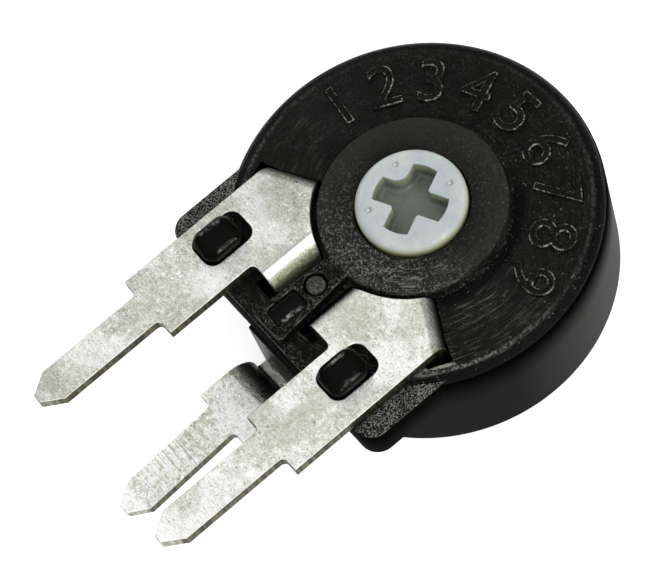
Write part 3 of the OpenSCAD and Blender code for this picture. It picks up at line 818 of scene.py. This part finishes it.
def cut_steel():
    """Sheared edge of the strip: bare steel, olive brown, with thin drag lines."""
    material, tree, surface = new_finish("cut_steel", Metallic=0.85)
    place = in_mm(tree)
    x, y, _ = axes(tree, place)
    drag = noise(tree, stretched(tree, place, (9.0, 9.0, 0.8)), 1.5, 3.0, 0.6)
    base = blend_colour(tree, span(tree, drag, 0.4, 0.65), (0.035, 0.031, 0.014, 1), (0.15, 0.14, 0.085, 1))
    # The coined tip's end: tinned, painted lighter as a highlight, less on the left pin.
    coined_and_glint = product(tree, span(tree, y, -9.88, -9.98), span(tree, x, -2.0, -1.0, 0.25, 0.75),
                     span(tree, drag, 0.35, 0.6, 0.45, 1.0))
    base = blend_colour(tree, coined_and_glint, base, (0.62, 0.63, 0.54, 1))
    join_up(tree, surface, base, span(tree, drag, 0.3, 0.7, 0.55, 0.38))
    return material


def sheared(piece, thickness):
    """Thickens a sheet downwards and gives its rim the cut edge's finish."""
    sheet = piece.modifiers.new("sheet", "SOLIDIFY")
    sheet.thickness, sheet.offset, sheet.use_even_offset = thickness * MM, -1, True
    sheet.material_offset_rim = 1


def face_up(bm):
    """Turns all faces of a sheet one way, with its widest face upwards."""
    bmesh.ops.recalc_face_normals(bm, faces=bm.faces)
    if max(bm.faces, key=lambda f: f.calc_area()).normal.z < 0:
        bmesh.ops.reverse_faces(bm, faces=bm.faces)


def pin_outline(x, y, half, end):
    """From the right shoulder down round the pin's tip and up to the left shoulder."""
    r = shoulder_r
    return (arc(x + half + r, y - r, r, 90, 180, 5) + [(x + half, end + taper), (x + tip_half, end),
            (x - tip_half, end), (x - half, end + taper)] + arc(x - half - r, y - r, r, 0, 90, 5))


def fold_line_y(x):
    """How far up the flat tab reaches at a given x before the slanted fold begins."""
    slope = math.radians(fold_deg)
    return (x - fold_r * math.sin(slope)) * math.tan(slope) - fold_r * math.cos(slope)


def outer_terminal(side, name, finish):
    """One outer terminal: a flat blank, two edges of it spun down and drawn out, mirrored for the left."""
    slope = math.radians(fold_deg)
    hook_x = hook_bend_x - hook_shift * side
    along = Vector((math.cos(slope), math.sin(slope), 0))
    out = Vector((-math.sin(slope), math.cos(slope), 0))
    reach = math.sqrt(arc_r ** 2 - fold_r ** 2)
    near = along * reach - out * fold_r
    hub_arc = arc(0, 0, arc_r, math.degrees(math.atan2(near.y, near.x)),
                  math.degrees(-math.acos(hook_x / arc_r)), 14)
    outline = ([(tab_x[1], shoulder_y), (tab_x[1], fold_line_y(tab_x[1]))] + hub_arc + [(hook_x, head_y)]
               + arc(tab_x[0] - tab_corner, head_y - tab_corner, tab_corner, 90, 0, 4)
               + [(tab_x[0], shoulder_y)] + pin_outline(pin_x, shoulder_y, pin_half, pin_end)[::-1])
    centre = pin_x + side * window_shift
    window = round_box(centre - window_half, centre + window_half, *window_y, window_corner)
    bm = bmesh.new()
    rim, _, _ = plate(bm, outline, window, top_z)
    bmesh.ops.inset_region(bm, faces=bm.faces, thickness=0.06, use_even_offset=True, use_boundary=True)
    # One edge of the blank becomes the slanted fold and its leg, another the hook.
    for a, b, centre_line, axis, r, low in (
            (rim[1], rim[2], near - Vector((0, 0, fold_r - top_z)), along, fold_r, leg_z),
            (rim[16], rim[17], Vector((hook_x, 0, top_z - hook_r)), Vector((0, 1, 0)), hook_r, hook_z)):
        edge = bm.edges.get((a, b))
        spun = bmesh.ops.spin(bm, geom=[a, b, edge], cent=centre_line, axis=axis, dvec=(0, 0, 0),
                              angle=-math.pi / 2, steps=8)["geom_last"]
        leg = bmesh.ops.extrude_edge_only(bm, edges=only(BMEdge, spun))["geom"]
        for v in only(BMVert, leg):
            v.co.z = low
    # The hook follows the hub; the leg ends flush with the tab outside, and clear of the spring inside.
    for v in bm.verts:
        if v.co.z < top_z - 1e-4:
            if v.co.x < hook_x and v.co.y > hook_mid_y:
                v.co.y = -math.sqrt(arc_r ** 2 - v.co.x ** 2)
            elif v.co.x > leg_mid[0] and v.co.y < leg_mid[1]:
                v.co += along * ((tab_x[1] - v.co.x) / along.x)
            elif v.co.x < leg_mid[0] and v.co.y > leg_mid[1]:
                v.co += along * leg_inset * min(1.0, (top_z - v.co.z) / fold_r)
    if side < 0:
        bmesh.ops.scale(bm, vec=(-1, 1, 1), verts=bm.verts)
    bmesh.ops.remove_doubles(bm, verts=bm.verts, dist=1e-4)
    face_up(bm)
    piece = solid(bm, name)
    sheared(piece, sheet_t)
    fit_piece(piece, "base", name.replace("_sheet", ""), finish, edge=0.03, sharp=40, segments=3)
    piece.data.materials.append(bare_cut)


tin = tinned_sheet("tin")
bare_cut = cut_steel()
outer_terminal(-1, "left_terminal_sheet", tin)
outer_terminal(1, "right_terminal_sheet", tin)

# ---------------------------------------------------------------------------------------------
# Wiper terminal: the same tinned sheet. Its ring lies in the back cover around the rotor's
# journal; the strip leaves the housing, bends up to the pin plane and leans back to the tip.
wiper_t = 0.3
strip_half = 0.92
ring_r = 1.6
journal_hole = 0.76
collar_r = 1.06
collar_z = 1.3
collar_edge = 0.05
first_bend_y = -5.22
bend_in = 0.1
bend_out = 0.78
wiper_z = 1.22
wiper_seat = -7.0
wiper_end = -10.43
lean = 6.0

wiper_bm = bmesh.new()
split = math.degrees(math.asin(strip_half / ring_r))
ring_side = arc(0, 0, ring_r, -90 + split, 270 - split, 72)
rim, _, _ = plate(wiper_bm, ring_side + [(-strip_half, first_bend_y), (strip_half, first_bend_y)],
                  circle(0, 0, journal_hole, 72), wiper_t)
edge = wiper_bm.edges.get((rim[-2], rim[-1]))
up = bmesh.ops.spin(wiper_bm, geom=[rim[-2], rim[-1], edge], cent=(0, first_bend_y, wiper_t + bend_in),
                    axis=(1, 0, 0), dvec=(0, 0, 0), angle=-math.pi / 2, steps=6)["geom_last"]
leg = bmesh.ops.extrude_edge_only(wiper_bm, edges=only(BMEdge, up))["geom"]
for v in only(BMVert, leg):
    v.co.z = wiper_z - bend_out
over_y = first_bend_y - bend_in - bend_out
bmesh.ops.spin(wiper_bm, geom=only(BMVert, leg) + only(BMEdge, leg),
               cent=(0, over_y, wiper_z - bend_out), axis=(1, 0, 0), dvec=(0, 0, 0),
               angle=math.pi / 2, steps=12)
blade = ([(strip_half, over_y), (strip_half, wiper_seat)] + pin_outline(0, wiper_seat, pin_half, wiper_end)
         + [(-strip_half, wiper_seat), (-strip_half, over_y)])
wiper_bm.faces.new(corners(wiper_bm, blade[::-1], wiper_z))
bmesh.ops.remove_doubles(wiper_bm, verts=wiper_bm.verts, dist=1e-4)
bmesh.ops.bisect_plane(wiper_bm, geom=wiper_bm.verts[:] + wiper_bm.edges[:] + wiper_bm.faces[:],
                       plane_co=(0, wiper_seat, 0), plane_no=(0, 1, 0), dist=1e-4)
for v in wiper_bm.verts:
    if v.co.y < wiper_seat:
        v.co.z -= (wiper_seat - v.co.y) * math.tan(math.radians(lean))
face_up(wiper_bm)
wiper = solid(wiper_bm, "wiper_terminal_strip")
sheared(wiper, wiper_t)
# A brighter copy of the tin for the wiper, painted light through its shade factor, with rolled marks.
tin_across = tinned_sheet("tin_across", rolled=1.6, shade=1.26)
fit_piece(wiper, "base", "wiper_terminal", tin_across, edge=0.03, sharp=40, segments=3)
wiper.data.materials.append(bare_cut)
collar_bm = bmesh.new()
turned(collar_bm, [(journal_hole, collar_edge), (collar_r, collar_edge), (collar_r, collar_z - collar_edge),
                   (collar_r - collar_edge, collar_z), (journal_hole, collar_z)], 96)
collar = solid(collar_bm, "wiper_terminal_collar")
fit_piece(collar, "base", "wiper_terminal", tin_across)

# ---------------------------------------------------------------------------------------------
# Back cover, element board, track, end pads and wiper spring: the CAD solids themselves, with
# their own finishes. A moulded cover, a paper laminate disc, printed carbon and silver, sprung bronze.
def dress(name, finish):
    """Puts a finish on a CAD node that stays in view."""
    for place_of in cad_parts[name].material_slots:
        place_of.material = finish


def printed(name, dark, light, scale, rough, metal=0.0, relief=0.000006):
    """An inner finish: two tones of grain, a slow cloud, and a faint relief."""
    material, tree, surface = new_finish(name, Metallic=metal)
    place = in_mm(tree)
    grain = noise(tree, place, scale, 4.0, 0.65)
    cloud = noise(tree, place, 0.8, 2.0, 0.5)
    base = blend_colour(tree, span(tree, grain, 0.35, 0.65), dark, light)
    base = blend_colour(tree, span(tree, cloud, 0.4, 0.7, 0.0, 0.4), base, dark)
    join_up(tree, surface, base, span(tree, grain, 0.3, 0.7, rough + 0.08, rough - 0.06), grain, 0.6, relief)
    return material


def laminate_brown():
    """Phenolic paper: brown, with fibres lying mostly one way and small resin flecks."""
    material, tree, surface = new_finish("laminate_brown", Specular_IOR_Level=0.35)
    place = in_mm(tree)
    fibre = noise(tree, stretched(tree, place, (1.0, 5.0, 5.0)), 3.0, 4.0, 0.6)
    base = blend_colour(tree, span(tree, fibre, 0.35, 0.65), (0.055, 0.027, 0.011, 1), (0.15, 0.080, 0.034, 1))
    base = blend_colour(tree, sparks(tree, place, 5.0, 0.25, 0.3), base, (0.07, 0.03, 0.01, 1))
    join_up(tree, surface, base, span(tree, fibre, 0.3, 0.7, 0.42, 0.58), fibre, 0.5, 0.00001)
    return material


dress("back_cover", printed("cover_black", (0.006, 0.006, 0.006, 1), (0.020, 0.021, 0.019, 1), 12.0, 0.50,
                            relief=0.00002))
dress("element_board", laminate_brown())
dress("carbon_track", printed("carbon_ink", (0.008, 0.008, 0.009, 1), (0.030, 0.031, 0.034, 1), 16.0, 0.42))
silver_ink = printed("silver_ink", (0.42, 0.42, 0.41, 1), (0.70, 0.70, 0.68, 1), 18.0, 0.40, metal=0.8)
dress("left_end_pad", silver_ink)
dress("right_end_pad", silver_ink)
dress("wiper_spring", printed("spring_bronze", (0.42, 0.24, 0.11, 1), (0.66, 0.42, 0.22, 1), 10.0, 0.30, metal=1.0))

# ---------------------------------------------------------------------------------------------
# Camera, floor and light: the part lies on a plain pale floor under soft studio light.
camera_at = Vector((30.613, -12.315, 67.115))
lens_mm = 153.05
azimuth, elevation, roll = math.radians(72.80), math.radians(63.66), math.radians(-24.51)
back = Vector((math.sin(azimuth) * math.cos(elevation), -math.cos(azimuth) * math.cos(elevation),
               math.sin(elevation)))
right0 = Vector((math.cos(azimuth), math.sin(azimuth), 0))
up0 = right0.cross(-back)
right = math.cos(roll) * right0 + math.sin(roll) * up0
up = -math.sin(roll) * right0 + math.cos(roll) * up0
lens = bpy.data.cameras.new("camera")
lens.sensor_width = 36.0
lens.lens = lens_mm
lens.shift_x, lens.shift_y = -0.00526, 0.01336
lens.clip_start, lens.clip_end = 0.005, 10.0
camera = bpy.data.objects.new("camera", lens)
pose = Matrix((right, up, back)).transposed().to_4x4()
pose.translation = camera_at * MM
camera.matrix_world = pose
scene.collection.objects.link(camera)
scene.camera = camera

floor_half = 600
floor_drop = 0.02
floor_glow = 0.62
floor_bm = bmesh.new()
bmesh.ops.create_grid(floor_bm, x_segments=1, y_segments=1, size=floor_half)
floor = solid(floor_bm, "floor")
floor.data.transform(Matrix.Translation((0, 0, -floor_drop * MM)) @ Matrix.Scale(MM, 4))
pale, tree, surface = new_finish("pale_floor", Roughness=0.9)
surface.inputs["Base Color"].default_value = (0.9, 0.9, 0.9, 1)
surface.inputs["Emission Color"].default_value = (1, 1, 1, 1)
path = node(tree, "LightPath")
seen = maths(tree, "MAXIMUM", path.outputs["Is Camera Ray"],
             maths(tree, "MAXIMUM", path.outputs["Is Glossy Ray"], path.outputs["Is Transmission Ray"]))
tree.links.new(product(tree, seen, floor_glow), surface.inputs["Emission Strength"])
floor.data.materials.append(pale)

world = bpy.data.worlds.new("studio")
scene.world = world
world.use_nodes = True
tree = world.node_tree
path = node(tree, "LightPath")
aim = node(tree, "TexCoord").outputs["Generated"]
facing = vectors(tree, "DOT_PRODUCT", aim, (0.10, -0.05, 0.99), "Value")
soft_box = span(tree, facing, 0.15, 0.85, 0.20, 1.05)
soft_box = maths(tree, "MAXIMUM", soft_box, span(tree, axes(tree, aim)[2], 0.05, 0.0, 0.0, 0.5))
mirrored = maths(tree, "MAXIMUM", path.outputs["Is Glossy Ray"], path.outputs["Is Transmission Ray"])
strength = blend_value(tree, mirrored, 0.6, soft_box)
strength = blend_value(tree, path.outputs["Is Camera Ray"], strength, 1.0)
tree.nodes["Background"].inputs["Color"].default_value = (1, 1, 1, 1)
tree.links.new(strength, tree.nodes["Background"].inputs["Strength"])


def lamp(name, at, aim, size, power):
    """A round soft light at one point, turned towards another."""
    light = bpy.data.lights.new(name, "AREA")
    light.shape, light.size, light.energy = "DISK", size * MM, power
    made = bpy.data.objects.new(name, light)
    turn = (Vector(aim) - Vector(at)).to_track_quat("-Z", "Y").to_matrix().to_4x4()
    turn.translation = Vector(at) * MM
    made.matrix_world = turn
    scene.collection.objects.link(made)


lamp("left_light", (-90, 20, 62), (0, -2, 2), 26, 0.015)
lamp("right_light", (84, 12, 62), (0, -2, 2), 44, 0.038)

scene.view_settings.view_transform = "Standard"
